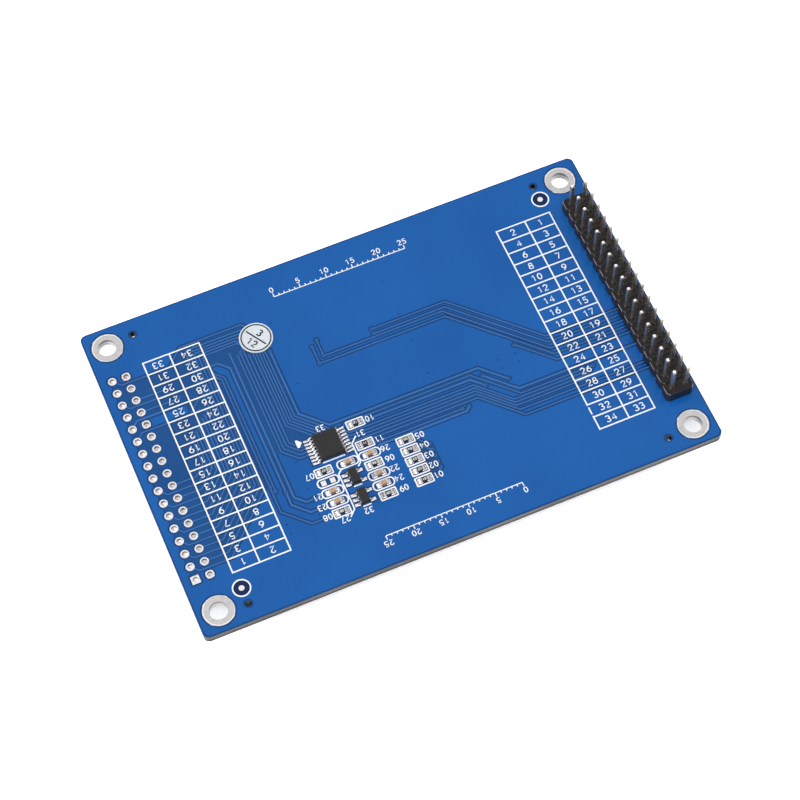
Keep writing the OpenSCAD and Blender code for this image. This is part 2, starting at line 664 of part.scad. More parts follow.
module outline_print() {
    leader_x = -15.75;
    package_leader_x = -11.45;
    color("white") layer(z_pads, print_t) union() {
        for (spot = resistor_spots) translate(spot) rect_line(resistor_box, 0.1);
        for (spot = concat(capacitor_spots, [bare_capacitor_spot]))
            translate(spot) rect_line(capacitor_box, 0.65);
        print_band([[tssop_spot.x - 2.1, tssop_spot.y - 2.7], [tssop_spot.x + 2.0, tssop_spot.y - 2.7]]);
        for (spot = sot_spots)
            print_band([[spot.x - 0.7, spot.y - 1.6], [spot.x + 0.8, spot.y - 1.6]]);
        polygon([[-20.25, -2.95], [-19.9, -2.95], [-19.2, -3.7], [-19.9, -4.45], [-20.25, -4.45]]);
        print_band([[-15.0, chip_y - 0.8], [leader_x, chip_y - 1.45], [leader_x, -18.8], [-16.9, -19.95]]);
        print_band([[-10.3, -6.15], [package_leader_x, -7.3], [package_leader_x, chip_y - 0.75],
            [-12.1, -11.7]]);
        for (spot = fiducial_spots) translate(spot) difference() {
            circle(d = fiducial_ring_d + print_line, $fn = round_fn);
            circle(d = fiducial_ring_d - print_line, $fn = round_fn);
        }
    }
}

// ---- Pin header ----

// Outline of the moulded strip: one segment for each pair of pins, with its corners cut off
function strip_side(sign) = [for (row = [0 : pin_rows - 1], corner = [0 : 3])
    let (half = pin_pitch, low = row_y(row) - half / 2, high = row_y(row) + half / 2,
         y = [high, high - strip_notch, low + strip_notch, low][corner],
         x = (corner == 0 || corner == 3) ? half - strip_notch : half)
    [sign * x, y]];

module header_strip() {
    left = strip_side(-1);
    right = strip_side(1);
    outline = concat(left, [for (i = [len(right) - 1 : -1 : 0]) right[i]]);
    centre_x = (inner_x + outer_x) / 2;
    groove_side = strip_groove * sqrt(2);
    color("dimgray") difference() {
        layer(z_pads, strip_h - copper_t) translate([centre_x, 0]) polygon(outline);
        for (row = [0.5 : pin_rows - 1.5]) translate([centre_x, row_y(row), z_back + strip_h])
            rotate([45, 0, 0]) cube([3 * pin_pitch, groove_side, groove_side], center = true);
        for (row = [0 : pin_rows - 1], x = [inner_x, outer_x])
            translate([x, row_y(row), z_back + strip_h / 2]) cube([pin_w, pin_w, 2 * strip_h], center = true);
    }
}

// Square pin with tapered ends, seen from one side
function pin_profile() =
    let (half = pin_w / 2, tip = pin_w * 0.24, taper = pin_w * 0.7,
         low = z_front - pin_tail, high = z_back + pin_rise)
    [[-half, low + taper], [-tip, low], [tip, low], [half, low + taper],
     [half, high - taper], [tip, high], [-tip, high], [-half, high - taper]];

module header_pin() {
    intersection() {
        rotate([90, 0, 0]) linear_extrude(pin_w, center = true) polygon(pin_profile());
        rotate([90, 0, 90]) linear_extrude(pin_w, center = true) polygon(pin_profile());
    }
}

module header_pins(x) {
    color("lightsteelblue") for (row = [0 : pin_rows - 1]) translate([x, row_y(row), 0]) header_pin();
}

module header_pins_inner() {
    header_pins(inner_x);
}

module header_pins_outer() {
    header_pins(outer_x);
}

// Solder that fills each plated hole and rises round the pin's tail on the board's front
module header_solder() {
    hole_r = pad_hole_d / 2;
    foot_r = pad_d / 2 - 0.05;
    neck_r = pin_w * 0.8;
    cone_h = pin_tail * 0.65;
    color("silver") for (row = [0 : pin_rows - 1], x = [inner_x, outer_x])
        translate([x, row_y(row), z_solder_front]) difference() {
            rotate_extrude($fn = 24) polygon([[0, -cone_h], [neck_r, -cone_h],
                [neck_r + 0.06, -cone_h * 0.55], [foot_r * 0.85, -cone_h * 0.18], [foot_r, 0], [hole_r, 0],
                [hole_r, board_t + 2 * copper_t], [0, board_t + 2 * copper_t]]);
            cube([pin_w, pin_w, 4 * board_t + 4 * pin_tail], center = true);
        }
}

// ---- Chip components ----

// Ceramic body with a metal cap on each end; the cap wraps a little proud of the body
module chip_body(height, glaze) {
    wrap = 0.03;
    layer(wrap, height - 2 * wrap) square([chip_len - wrap, chip_wid - 2 * wrap], center = true);
    for (s = [-1, 1]) translate([s * (chip_len - chip_end) / 2, 0]) layer(0, height)
        square([chip_end, chip_wid], center = true);
    if (glaze) layer(height - 1.5 * wrap, 1.5 * wrap)
        square([chip_len - 2 * chip_end - 2 * wrap, chip_wid - 4 * wrap], center = true);
}

module resistor(index) {
    color([0.1, 0.1, 0.11]) at(resistor_spots[index], z_pads) chip_body(resistor_h, true);
}

module capacitor(index) {
    color("tan") at(capacitor_spots[index], z_pads) chip_body(capacitor_h, false);
}

// Solder rising from a pad to a chip's metal end, hollow like the inside of a quarter circle
module chip_fillet(height) {
    run = 0.36;
    rise = height * 0.75;
    slope = [for (a = [0 : 18 : 90]) [chip_len / 2 + run * (1 - sin(a)), rise * (1 - cos(a))]];
    rotate([90, 0, 0]) linear_extrude(chip_wid * 0.94, center = true)
        polygon(concat([[chip_len / 2, 0]], slope));
}

module chip_fillets(spot, height) {
    at(spot, z_pads) for (a = [0, 180]) rotate(a) chip_fillet(height);
}

module component_solder() {
    color("whitesmoke") {
        for (spot = resistor_spots) chip_fillets(spot, resistor_h);
        for (spot = capacitor_spots) chip_fillets(spot, capacitor_h);
    }
}

// ---- Moulded packages ----

// Body with drafted sides above and below the leads
module package_body(size) {
    draft = 0.12;
    low = z_pads + package_gap;
    high = z_back + package_top;
    mid = (low + high) / 2;
    function side(half) = [[-half + draft, low], [half - draft, low], [half, mid - 0.08], [half, mid + 0.08],
        [half - draft, high], [-half + draft, high], [-half, mid + 0.08], [-half, mid - 0.08]];
    intersection() {
        rotate([90, 0, 0]) linear_extrude(size.y, center = true) polygon(side(size.x / 2));
        rotate([90, 0, 90]) linear_extrude(size.x, center = true) polygon(side(size.y / 2));
    }
}

// Gull-wing lead, from the body's side down to its pad
module gull_lead(body_half, reach, width) {
    mid = (z_pads + package_gap + z_back + package_top) / 2;
    foot = z_pads + lead_t / 2;
    heel = reach - toe_len;
    knee = body_half + (heel - body_half) * 0.4;
    path = [[body_half, mid], [knee, mid], [heel, foot], [reach, foot]];
    rotate([90, 0, 0]) linear_extrude(width, center = true) polygon(band(path, lead_t));
}

module package_leads(spot, body, reach, width, left, right) {
    color("whitesmoke") {
        for (y = right) translate([spot.x, spot.y + y, 0]) gull_lead(body.x / 2, reach, width);
        for (y = left) translate([spot.x, spot.y + y, 0]) rotate(180) gull_lead(body.x / 2, reach, width);
    }
}

module touch_controller_body() {
    mark_r = 0.35;
    color([0.2, 0.19, 0.2]) difference() {
        translate(tssop_spot) package_body(tssop_body);
        translate([tssop_spot.x - tssop_body.x / 2 + 0.75, tssop_spot.y + tssop_body.y / 2 - 0.75,
            z_back + package_top - 0.08]) cylinder(h = 1, r = mark_r, $fn = 24);
    }
}

module touch_controller_leads() {
    package_leads(tssop_spot, tssop_body, tssop_reach, 0.24, tssop_leads, tssop_leads);
}

module sot_package(spot) {
    color([0.17, 0.16, 0.17]) translate(spot) package_body(sot_body);
}

module sot_leads(spot) {
    package_leads(spot, sot_body, sot_reach, 0.4, sot_three, sot_two);
}

module regulator_body() {
    sot_package(sot_spots[0]);
}

module regulator_leads() {
    sot_leads(sot_spots[0]);
}

module backlight_driver_body() {
    sot_package(sot_spots[1]);
}

module backlight_driver_leads() {
    sot_leads(sot_spots[1]);
}

// ---- Sticker ----

sticker_spot = [-18.9, 18.5];

module inspection_sticker() {
    color("white") layer(z_pads, sticker_t) translate(sticker_spot) circle(d = sticker_d, $fn = round_fn);
}

module sticker_print() {
    ring_d = sticker_d * 0.87;
    line = 0.13;
    color([0.15, 0.13, 0.12]) layer(z_pads + sticker_t, print_t) translate(sticker_spot) {
        difference() {
            circle(d = ring_d + line, $fn = round_fn);
            circle(d = ring_d - line, $fn = round_fn);
        }
        rotate(-58) square([ring_d * 0.82, 1.3 * line], center = true);
    }
}

// ---- Display ----

module foam_tape() {
    strip = [display_len * 0.875, display_wid * 0.1];
    end_gap = 1.85; // left bare at the end away from the flexible circuits
    color([0.25, 0.25, 0.25]) for (s = [-1, 1]) layer(z_foam, foam_t)
        translate([(display_len - strip.x) / 2 - end_gap, s * (frame_y - 1 - strip.y / 2)])
            square(strip, center = true);
}

// Folded steel tray that holds the backlight, with a gap for the flexible circuit
module backlight_tray() {
    slot_y = display_flex_w / 2 + 0.5;
    lip_z = z_frame + 0.4;
    color("silver") difference() {
        box([-display_len / 2, display_len / 2], [-display_wid / 2, display_wid / 2], [lip_z, z_foam]);
        box([-frame_x, frame_x], [-frame_y, frame_y], [lip_z - eps, z_tray]);
        box([-display_len, -frame_x + eps], [-slot_y, slot_y], [lip_z - eps, z_tft_glass + flex_slot_h]);
    }
}

// Moulded white frame: a pocket for the glass in front, a shelf, and a pocket for the light guide behind
module backlight_frame() {
    slot_y = display_flex_w / 2 + 0.5;
    cell_pocket_x = [tft_glass_x[0] - fit_gap, tft_glass_x[1] + fit_gap];
    shelf_x = [color_glass_x[0] + 0.4, color_glass_x[1] - 0.4];
    light_pocket_x = [strip_x - fit_gap, light_guide_x[1] + fit_gap];
    color("white") difference() {
        box([-frame_x, frame_x], [-frame_y, frame_y], [z_frame, z_tray]);
        box(cell_pocket_x, [-cell_y - fit_gap, cell_y + fit_gap], [z_frame - eps, z_shelf]);
        box(shelf_x, [-cell_y + 0.4, cell_y - 0.4], [z_shelf - eps, z_prism + eps]);
        box(light_pocket_x, [-cell_y - fit_gap, cell_y + fit_gap], [z_prism, z_tray + eps]);
        box([-frame_x - eps, cell_pocket_x[0] + eps], [-slot_y, slot_y],
            [z_frame - eps, z_tft_glass + flex_slot_h]);
    }
}

module sheet(x, y, z, thickness) {
    box(x, [-y, y], [z, z + thickness]);
}

module reflector_sheet() {
    color("whitesmoke") sheet(light_guide_x, cell_y, z_reflector, reflector_t);
}

// Clear plate with a row of shallow notches that spread the light of the LEDs
module light_guide() {
    notch_d = 0.5;
    color([0.85, 0.93, 1]) difference() {
        sheet(light_guide_x, cell_y, z_light_guide, light_guide_t);
        for (n = [0 : led_count - 1], k = [-1 : 1])
            translate([light_guide_x[0], (n - (led_count - 1) / 2) * led_step + k, z_light_guide - eps])
                cylinder(h = light_guide_t + 2 * eps, d = notch_d, $fn = 24);
    }
}

module diffuser_sheet() {
    color("white") sheet([light_guide_x[0] + 0.3, light_guide_x[1]], cell_y, z_diffuser, diffuser_t);
}

module prism_sheets() {
    color([0.9, 0.95, 1]) for (n = [0, 1])
        sheet([light_guide_x[0] + 0.5 + 0.4 * n, light_guide_x[1]], cell_y, z_prism + n * prism_t, prism_t);
}

// Six side-firing LEDs on a narrow flexible strip
module led_strip() {
    strip_t = 0.1;
    led_x = light_guide_x[0] - 0.1 - led_size.x;
    color("lightyellow") union() {
        box([strip_x, led_x + led_size.x], [-cell_y + 1, cell_y - 1], [z_reflector - strip_t, z_reflector]);
        for (n = [0 : led_count - 1])
            translate([led_x, (n - (led_count - 1) / 2) * led_step - led_size.y / 2,
                z_reflector - strip_t - led_size.z]) cube(led_size + [0, 0, eps]);
    }
}

module polarizer(z) {
    sheet([picture_x - picture_len / 2 - polarizer_border, picture_x + picture_len / 2 + polarizer_border],
        picture_wid / 2 + polarizer_border, z, polarizer_t);
}

module rear_polarizer() {
    color([0.15, 0.15, 0.17]) polarizer(z_shelf);
}

module front_polarizer() {
    color([0.1, 0.1, 0.12]) polarizer(z_frame);
}

module tft_glass() {
    color([0.6, 0.7, 0.7]) sheet(tft_glass_x, cell_y, z_tft_glass, cell_glass_t);
}

module color_filter_glass() {
    color([0.5, 0.6, 0.6]) sheet(color_glass_x, cell_y, z_color_glass, cell_glass_t);
}

// Bare silicon driver on the rear glass's ledge
module driver_chip() {
    chip = [ledge * 0.34, cell_y * 0.78];
    chip_h = cell_glass_t * 0.6;
    color([0.3, 0.3, 0.33]) box([color_glass_x[0] - 0.4 - chip.x, color_glass_x[0] - 0.4],
        [-chip.y / 2, chip.y / 2], [z_tft_glass - chip_h, z_tft_glass]);
}

// A flexible circuit that leaves the display at z0, turns round its edge and runs back under the board
module folded_flex(start_x, z0, pad_x, pad_len, y, width) {
    turn_r = (flex_run_z - z0) / 2;
    lift = z_solder_front - flex_t / 2 - flex_run_z;
    path = concat([[start_x, z0]],
        arc([flex_bend_x, z0 + turn_r], turn_r, 270, 90, 12),
        [[pad_x - 3 * lift, flex_run_z], [pad_x, flex_run_z + lift], [pad_x + pad_len, flex_run_z + lift]]);
    translate([0, y, 0]) rotate([90, 0, 0]) linear_extrude(width, center = true) polygon(band(path, flex_t));
}

module display_flex() {
    color("goldenrod") folded_flex(tft_glass_x[0] + 1.2, z_tft_glass - flex_t / 2, flex_pad_x, flex_pad_len,
        0, display_flex_w);
}

module touch_flex() {
    color("goldenrod") folded_flex(-display_len / 2 + 3.2, z_touch_glass - flex_t / 2, touch_pad_x, 1.5,
        touch_flex_y, touch_flex_w);
}

// Soldered joints between the flexible circuits and the pads on the board's front
module flex_joints() {
    display_step = (display_flex_w - 1.5) / (flex_lines - 1);
    touch_step = (touch_flex_w - 1.5) / (touch_lines - 1);
    color("silver") {
        for (n = [0 : flex_lines - 1])
            box([flex_pad_x + 0.2, flex_pad_x + flex_pad_len - 0.2],
                around((n - (flex_lines - 1) / 2) * display_step, 0.2), [z_solder_front, z_front]);
        for (n = [0 : touch_lines - 1])
            box([touch_pad_x + 0.2, touch_pad_x + 1.3],
                around(touch_flex_y + (n - (touch_lines - 1) / 2) * touch_step, 0.4),
                [z_solder_front, z_front]);
    }
}

module touch_outline(z, thickness) {
    x = display_len / 2 - touch_inset;
    y = display_wid / 2 - touch_inset;
    layer(z, thickness) round_rect([2 * x, 2 * y], 0.5);
}

// Black adhesive frame between the touch panel and the display
module touch_gasket() {
    window = [picture_len + 2.4, picture_wid + 2.4];
    color([0.08, 0.08, 0.08]) difference() {
        touch_outline(z_gasket, gasket_t);
        translate([picture_x, 0, z_gasket + gasket_t / 2])
            cube([window.x, window.y, 2 * gasket_t], center = true);
    }
}

module touch_glass() {
    color([0.75, 0.85, 0.85]) touch_outline(z_touch_glass, touch_glass_t);
}

// Front film of the touch panel, notched where its tail is bonded to the glass
module touch_film() {
    color([0.8, 0.85, 0.85]) difference() {
        touch_outline(0, touch_film_t);
        box([-display_len, -display_len / 2 + 3.4], around(touch_flex_y, touch_flex_w / 2 + 0.2),
            [-eps, touch_film_t + eps]);
    }
}

circuit_board();
ground_copper();
signal_tracks();
mounting_hole_plating();
empty_header_plating();
fitted_header_plating();
fiducial_pads();
left_table_print();
right_table_print();
outline_print();
component_pads();
component_solder();
header_strip();
header_pins_inner();
header_pins_outer();
header_solder();
for (i = [0 : len(resistor_numbers) - 1])
    resistor(i);
for (i = [0 : len(capacitor_numbers) - 1])
    capacitor(i);
touch_controller_body();
touch_controller_leads();
regulator_body();
regulator_leads();
backlight_driver_body();
backlight_driver_leads();
inspection_sticker();
sticker_print();
foam_tape();
backlight_tray();
backlight_frame();
reflector_sheet();
light_guide();
diffuser_sheet();
prism_sheets();
led_strip();
rear_polarizer();
tft_glass();
color_filter_glass();
front_polarizer();
driver_chip();
display_flex();
touch_gasket();
touch_glass();
touch_film();
touch_flex();
flex_joints();
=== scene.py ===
"""A colour display module lying on its display, back upward: finishes, printed numbers, light and camera."""

import math

import bmesh
import bpy
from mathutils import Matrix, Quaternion, Vector


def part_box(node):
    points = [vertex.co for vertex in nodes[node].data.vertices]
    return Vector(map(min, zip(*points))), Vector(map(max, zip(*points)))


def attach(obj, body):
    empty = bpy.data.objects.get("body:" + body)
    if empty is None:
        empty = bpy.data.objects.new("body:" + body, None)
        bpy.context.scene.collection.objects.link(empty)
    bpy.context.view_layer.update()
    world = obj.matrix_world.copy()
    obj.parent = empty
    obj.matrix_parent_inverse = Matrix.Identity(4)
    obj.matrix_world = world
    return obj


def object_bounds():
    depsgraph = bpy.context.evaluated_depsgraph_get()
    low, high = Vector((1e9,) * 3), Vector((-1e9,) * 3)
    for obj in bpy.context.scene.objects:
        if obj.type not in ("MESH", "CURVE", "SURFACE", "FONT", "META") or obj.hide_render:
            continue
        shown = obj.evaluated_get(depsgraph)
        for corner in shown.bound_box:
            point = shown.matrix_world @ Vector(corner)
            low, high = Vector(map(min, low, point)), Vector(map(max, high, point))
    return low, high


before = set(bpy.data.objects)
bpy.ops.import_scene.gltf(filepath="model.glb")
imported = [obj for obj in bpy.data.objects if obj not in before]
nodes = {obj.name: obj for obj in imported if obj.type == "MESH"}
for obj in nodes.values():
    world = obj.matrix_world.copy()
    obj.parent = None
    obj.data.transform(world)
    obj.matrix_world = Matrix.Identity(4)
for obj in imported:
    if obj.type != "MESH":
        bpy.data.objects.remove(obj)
cad_box = [list(corner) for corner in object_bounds()]
MM = 0.001
JOIN = 0.002 * MM  # corners closer than this are one
RESISTORS = range(1, 12)
CAPACITORS = (1, 2, 3, 4, 6, 7)


# ---- Camera and light ----

CAMERA_SPOT = Vector((-72.05, -183.59, 371.28)) * MM
CAMERA_TARGET = Vector((-0.65, -2.78, 6.5)) * MM
CAMERA_ROLL = math.radians(-1.73)
CAMERA_LENS = 108.2


def add_camera():
    data = bpy.data.cameras.new("studio_camera")
    data.lens = CAMERA_LENS
    data.sensor_width = 36
    data.clip_start = 0.01
    data.clip_end = 20
    camera = bpy.data.objects.new("studio_camera", data)
    bpy.context.scene.collection.objects.link(camera)
    aim = (CAMERA_TARGET - CAMERA_SPOT).to_track_quat("-Z", "Y")
    camera.rotation_mode = "QUATERNION"
    camera.rotation_quaternion = aim @ Quaternion((0, 0, 1), CAMERA_ROLL)
    camera.location = CAMERA_SPOT
    bpy.context.scene.camera = camera


def add_softbox(name, spot, size, watts):
    """A soft rectangular light that faces the module's middle."""
    data = bpy.data.lights.new(name, "AREA")
    data.shape = "RECTANGLE"
    data.size, data.size_y = size
    data.energy = watts
    light = bpy.data.objects.new(name, data)
    bpy.context.scene.collection.objects.link(light)
    light.location = spot
    light.rotation_euler = (-Vector(spot)).to_track_quat("-Z", "Y").to_euler()


def add_world(*steps):
    """Pale surroundings; steps are (height above the horizon from 0 to 1, brightness)."""
    world = bpy.data.worlds.new("studio")
    world.use_nodes = True
    tree = world.node_tree
    split = tree.nodes.new("ShaderNodeSeparateXYZ")
    tree.links.new(tree.nodes.new("ShaderNodeTexCoord").outputs["Generated"], split.inputs[0])
    ramp = tree.nodes.new("ShaderNodeValToRGB")
    elements = ramp.color_ramp.elements
    while len(elements) < len(steps):
        elements.new(0.5)
    for element, (height, level) in zip(elements, steps):
        element.position = height
        element.color = (level, level, level, 1)
    tree.links.new(split.outputs["Z"], ramp.inputs[0])
    tree.links.new(ramp.outputs[0], tree.nodes["Background"].inputs["Color"])
    bpy.context.scene.world = world


# ---- Node helpers ----


class Finish:
    """One procedural material; its node sizes are given in millimetres of the object."""

    def __init__(self, name, **values):
        self.material = bpy.data.materials.new(name)
        self.material.use_nodes = True
        self.tree = self.material.node_tree
        self.shader = next(n for n in self.tree.nodes if n.type == "BSDF_PRINCIPLED")
        for key, value in values.items():
            self.set(key.replace("_", " "), value)
        self._coords = None
        self._bump = None

    def set(self, socket, value):
        if isinstance(value, tuple):
            value = (*value, 1.0)
        self.shader.inputs[socket].default_value = value

    def add(self, kind, **settings):
        node = self.tree.nodes.new(kind)
        for key, value in settings.items():
            setattr(node, key, value)
        return node

    def link(self, a, b):
        self.tree.links.new(a, b)

    def coords(self):
        if self._coords is None:
            self._coords = self.add("ShaderNodeTexCoord")
        return self._coords

    def axis(self, name, source="Object"):
        """One coordinate of the surface: X, Y or Z."""
        split = self.add("ShaderNodeSeparateXYZ")
        self.link(self.coords().outputs[source], split.inputs[0])
        return split.outputs[name]

    def stretched(self, stretch):
        mapping = self.add("ShaderNodeMapping")
        mapping.inputs["Scale"].default_value = stretch
        self.link(self.coords().outputs["Object"], mapping.inputs["Vector"])
        return mapping.outputs["Vector"]

    def noise(self, size, detail=3.0, rough=0.55, stretch=(1, 1, 1)):
        """Noise whose features are about size millimetres across."""
        node = self.add("ShaderNodeTexNoise")
        node.inputs["Scale"].default_value = 1.0 / (size * MM)
        node.inputs["Detail"].default_value = detail
        node.inputs["Roughness"].default_value = rough
        self.link(self.stretched(stretch), node.inputs["Vector"])
        return node.outputs["Fac"]

    def cells(self, size, stretch=(1, 1, 1)):
        node = self.add("ShaderNodeTexVoronoi")
        node.inputs["Scale"].default_value = 1.0 / (size * MM)
        self.link(self.stretched(stretch), node.inputs["Vector"])
        return node.outputs["Distance"]

    def math(self, operation, a, b=0.0, clamp=False):
        node = self.add("ShaderNodeMath", operation=operation, use_clamp=clamp)
        for socket, value in zip(node.inputs, (a, b)):
            if isinstance(value, (int, float)):
                socket.default_value = value
            else:
                self.link(value, socket)
        return node.outputs[0]

    def wave(self, axis, pitch):
        """Smooth stripes across one axis, from 0 to 1, pitch millimetres apart."""
        turns = self.math("MULTIPLY", self.axis(axis), 2 * math.pi / (pitch * MM))
        half = self.math("MULTIPLY", self.math("SINE", turns), 0.5)
        return self.math("ADD", half, 0.5)

    def ramp(self, factor, *stops):
        """Colours or grey levels that follow a factor; stops are (factor, colour)."""
        node = self.add("ShaderNodeValToRGB")
        elements = node.color_ramp.elements
        while len(elements) < len(stops):
            elements.new(0.5)
        for element, (place, colour) in zip(elements, stops):
            element.position = place
            if isinstance(colour, (int, float)):
                colour = (colour,) * 3
            element.color = (*colour, 1)
        self.link(factor, node.inputs[0])
        return node.outputs[0]

    def mix(self, factor, a, b, blend="MIX"):
        node = self.add("ShaderNodeMix", data_type="RGBA", blend_type=blend)
        for socket, value in ((node.inputs[0], factor), (node.inputs[6], a), (node.inputs[7], b)):
            if isinstance(value, tuple):
                socket.default_value = (*value, 1)
            elif isinstance(value, (int, float)):
                socket.default_value = value
            else:
                self.link(value, socket)
        return node.outputs[2]

    def feed(self, socket, source):
        self.link(source, self.shader.inputs[socket])

    def bump(self, height, depth, strength=1.0):
        """Relief about depth millimetres deep; each call adds to the one before."""
        node = self.add("ShaderNodeBump")
        node.inputs["Strength"].default_value = strength
        node.inputs["Distance"].default_value = depth * MM
        self.link(height, node.inputs["Height"])
        if self._bump is not None:
            self.link(self._bump, node.inputs["Normal"])
        self._bump = node.outputs["Normal"]
        self.link(self._bump, self.shader.inputs["Normal"])

    def upward(self):
        """1 on faces that lie flat, 0 on upright ones."""
        normal = self.add("ShaderNodeSeparateXYZ")
        self.link(self.coords().outputs["Normal"], normal.inputs[0])
        steep = self.math("ABSOLUTE", normal.outputs["Z"])
        return self.math("GREATER_THAN", steep, 0.6)

    def near(self, spot, radius):
        """1 within a radius in millimetres of a spot given in metres."""
        gap = self.add("ShaderNodeVectorMath", operation="DISTANCE")
        self.link(self.coords().outputs["Object"], gap.inputs[0])
        gap.inputs[1].default_value = spot
        return self.math("LESS_THAN", gap.outputs["Value"], radius * MM)

    def openness(self, reach, samples=6):
        """1 in the open, less in gaps narrower than about the reach in millimetres."""
        node = self.add("ShaderNodeAmbientOcclusion", samples=samples)
        node.inputs["Distance"].default_value = reach * MM
        return node.outputs["AO"]


# ---- Finishes of the circuit board ----

FIDUCIAL_PAD = 1.0
FIDUCIAL_OPENING = 2.6
MOUNT_RING = 5.5
MOUNT_SPOKES = 0.07  # how far the ring's spokes reach past it
MOUNT_RIM = 0.16  # the width of the brighter band of painted highlight along the ring's outside


def mask_relief(f):
    """Solder mask: glass cloth showing faintly through it and a soft unevenness of its own."""
    cloth = f.math("MULTIPLY", f.wave("X", 0.62), f.wave("Y", 0.48))
    f.bump(cloth, 0.002, 0.5)
    f.bump(f.noise(1.6, 2.0), 0.004, 0.5)
    dust = f.ramp(f.noise(0.35, 4.0, 0.7), (0.3, 0.07), (0.75, 0.15))
    f.feed("Roughness", dust)


def board_finish():
    f = Finish("blue_board")
    cloudy = f.ramp(f.noise(9.0, 3.0), (0.3, (0.003, 0.046, 0.165)), (0.7, (0.004, 0.054, 0.190)))
    # Painted shade: the mask is darkened in narrow gaps and beside raised parts, such as between leads and
    # along copper edges, and partly also where the mask lies thicker; it is multiplied into the cloudy mask
    # colour below.
    gap_shade = f.ramp(f.openness(0.35), (0.66, (0.03, 0.04, 0.10)), (0.84, (0.26, 0.30, 0.48)), (0.98, 1.0))
    cloudy = f.mix(1.0, cloudy, gap_shade, "MULTIPLY")
    low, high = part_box("fiducial_pads")
    pad = Vector((FIDUCIAL_PAD, FIDUCIAL_PAD, 0)) / 2 * MM
    for spot in (low + pad, high - pad):
        cloudy = f.mix(f.near(spot, FIDUCIAL_OPENING / 2), cloudy, (0.002, 0.011, 0.055))
    z = f.axis("Z")
    low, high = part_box("circuit_board")
    depth = f.math("DIVIDE", f.math("SUBTRACT", z, low.z), high.z - low.z)
    layers = f.ramp(f.noise(0.12, 3.0, 0.6, (0.05, 0.05, 1.0)),
                    (0.35, (0.060, 0.061, 0.063)), (0.65, (0.105, 0.106, 0.108)))
    skins = f.ramp(depth, (0.0, (0.20, 0.20, 0.24)), (0.10, (0.30, 0.24, 0.20)), (0.38, (0.38, 0.31, 0.26)),
                   (0.50, 1.0), (0.93, 1.0), (0.98, (0.25, 0.33, 0.45)))
    # Painted sheen: large random stretches of the routed edge are made lighter and darker.
    painted_edge_sheen = f.ramp(f.noise(22.0, 2.0), (0.35, 0.75), (0.65, 1.5))
    edge = f.mix(1.0, f.mix(1.0, layers, skins, "MULTIPLY"), painted_edge_sheen, "MULTIPLY")
    # Painted shade: the edge faces are darkened where little is open round them, as inside holes and above
    # the display.
    edge = f.mix(1.0, edge, f.ramp(f.openness(1.2), (0.5, 0.03), (0.85, 1.0)), "MULTIPLY")
    flat = f.upward()
    f.feed("Base Color", f.mix(flat, edge, cloudy))
    f.feed("Specular IOR Level", f.ramp(flat, (0.0, 0.06), (1.0, 0.4)))
    mask_relief(f)
    return f.material


def copper_finish(name, dark, light, patch):
    f = Finish(name, Specular_IOR_Level=0.4)
    cloudy = f.ramp(f.noise(patch, 3.0), (0.3, dark), (0.7, light))
    speckle = f.ramp(f.noise(0.22, 3.0, 0.65), (0.35, 0.93), (0.65, 1.0))
    f.feed("Base Color", f.mix(1.0, cloudy, speckle, "MULTIPLY"))
    mask_relief(f)
    return f.material


def tinned_finish(name, tone, rough, barrel_dark, barrel_light, rings=()):
    """Levelled tin on copper: uneven faces, a painted highlight as a brighter rim round big rings, barrels
    darker near the top as painted shade.
    """
    f = Finish(name)
    flat = f.upward()
    patches = f.ramp(f.noise(1.1, 3.0, 0.5), (0.3, tuple(c * 0.88 for c in tone)), (0.65, tone))
    # Painted highlight: a brighter band along the outside of each mounting ring.
    tin_with_rim_highlight = patches
    for spot in rings:
        tin_with_rim_highlight = f.mix(f.near(spot, MOUNT_RING / 2), tin_with_rim_highlight, tuple(min(c * 1.5, 0.95) for c in tone))
    for spot in rings:
        tin_with_rim_highlight = f.mix(f.near(spot, MOUNT_RING / 2 - MOUNT_RIM), tin_with_rim_highlight, patches)
    # Painted shade: the barrel walls are dark near the board's top and lighter further down.
    depth = f.math("SUBTRACT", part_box("circuit_board")[1].z, f.axis("Z"))
    shade = f.math("ADD", f.math("DIVIDE", depth, 1.0 * MM), f.math("MULTIPLY", f.noise(0.5, 2.0), 0.3))
    barrel = f.ramp(shade, (0.50, barrel_dark), (0.85, barrel_light))
    f.feed("Base Color", f.mix(flat, barrel, tin_with_rim_highlight))
    f.feed("Metallic", f.ramp(flat, (0.0, 1.0), (1.0, 0.4)))
    f.feed("Roughness", f.ramp(f.noise(1.3, 2.0, 0.5), (0.3, rough * 0.85), (0.7, rough * 1.15)))
    f.bump(f.noise(1.2, 1.0), 0.015, 0.2)
    return f.material


def solder_finish():
    f = Finish("bright_solder", Metallic=1.0)
    f.feed("Base Color", f.ramp(f.noise(0.5), (0.3, (0.72, 0.73, 0.75)), (0.7, (0.93, 0.93, 0.94))))
    f.feed("Roughness", f.ramp(f.noise(0.25, 3.0), (0.3, 0.09), (0.7, 0.20)))
    f.bump(f.noise(0.6, 2.0), 0.02, 0.3)
    return f.material


def print_finish(name, tone):
    """Screen-printed ink: slightly rough, thin in tiny spots."""
    f = Finish(name, Specular_IOR_Level=0.35)
    thin = f.ramp(f.noise(0.18, 4.0, 0.7), (0.25, tuple(c * 0.78 for c in tone)), (0.45, tone))
    f.feed("Base Color", thin)
    f.feed("Roughness", f.ramp(f.noise(0.3, 3.0), (0.3, 0.42), (0.7, 0.6)))
    f.bump(f.noise(0.12, 2.0), 0.008, 0.5)
    return f.material


# ---- Finishes of the components ----


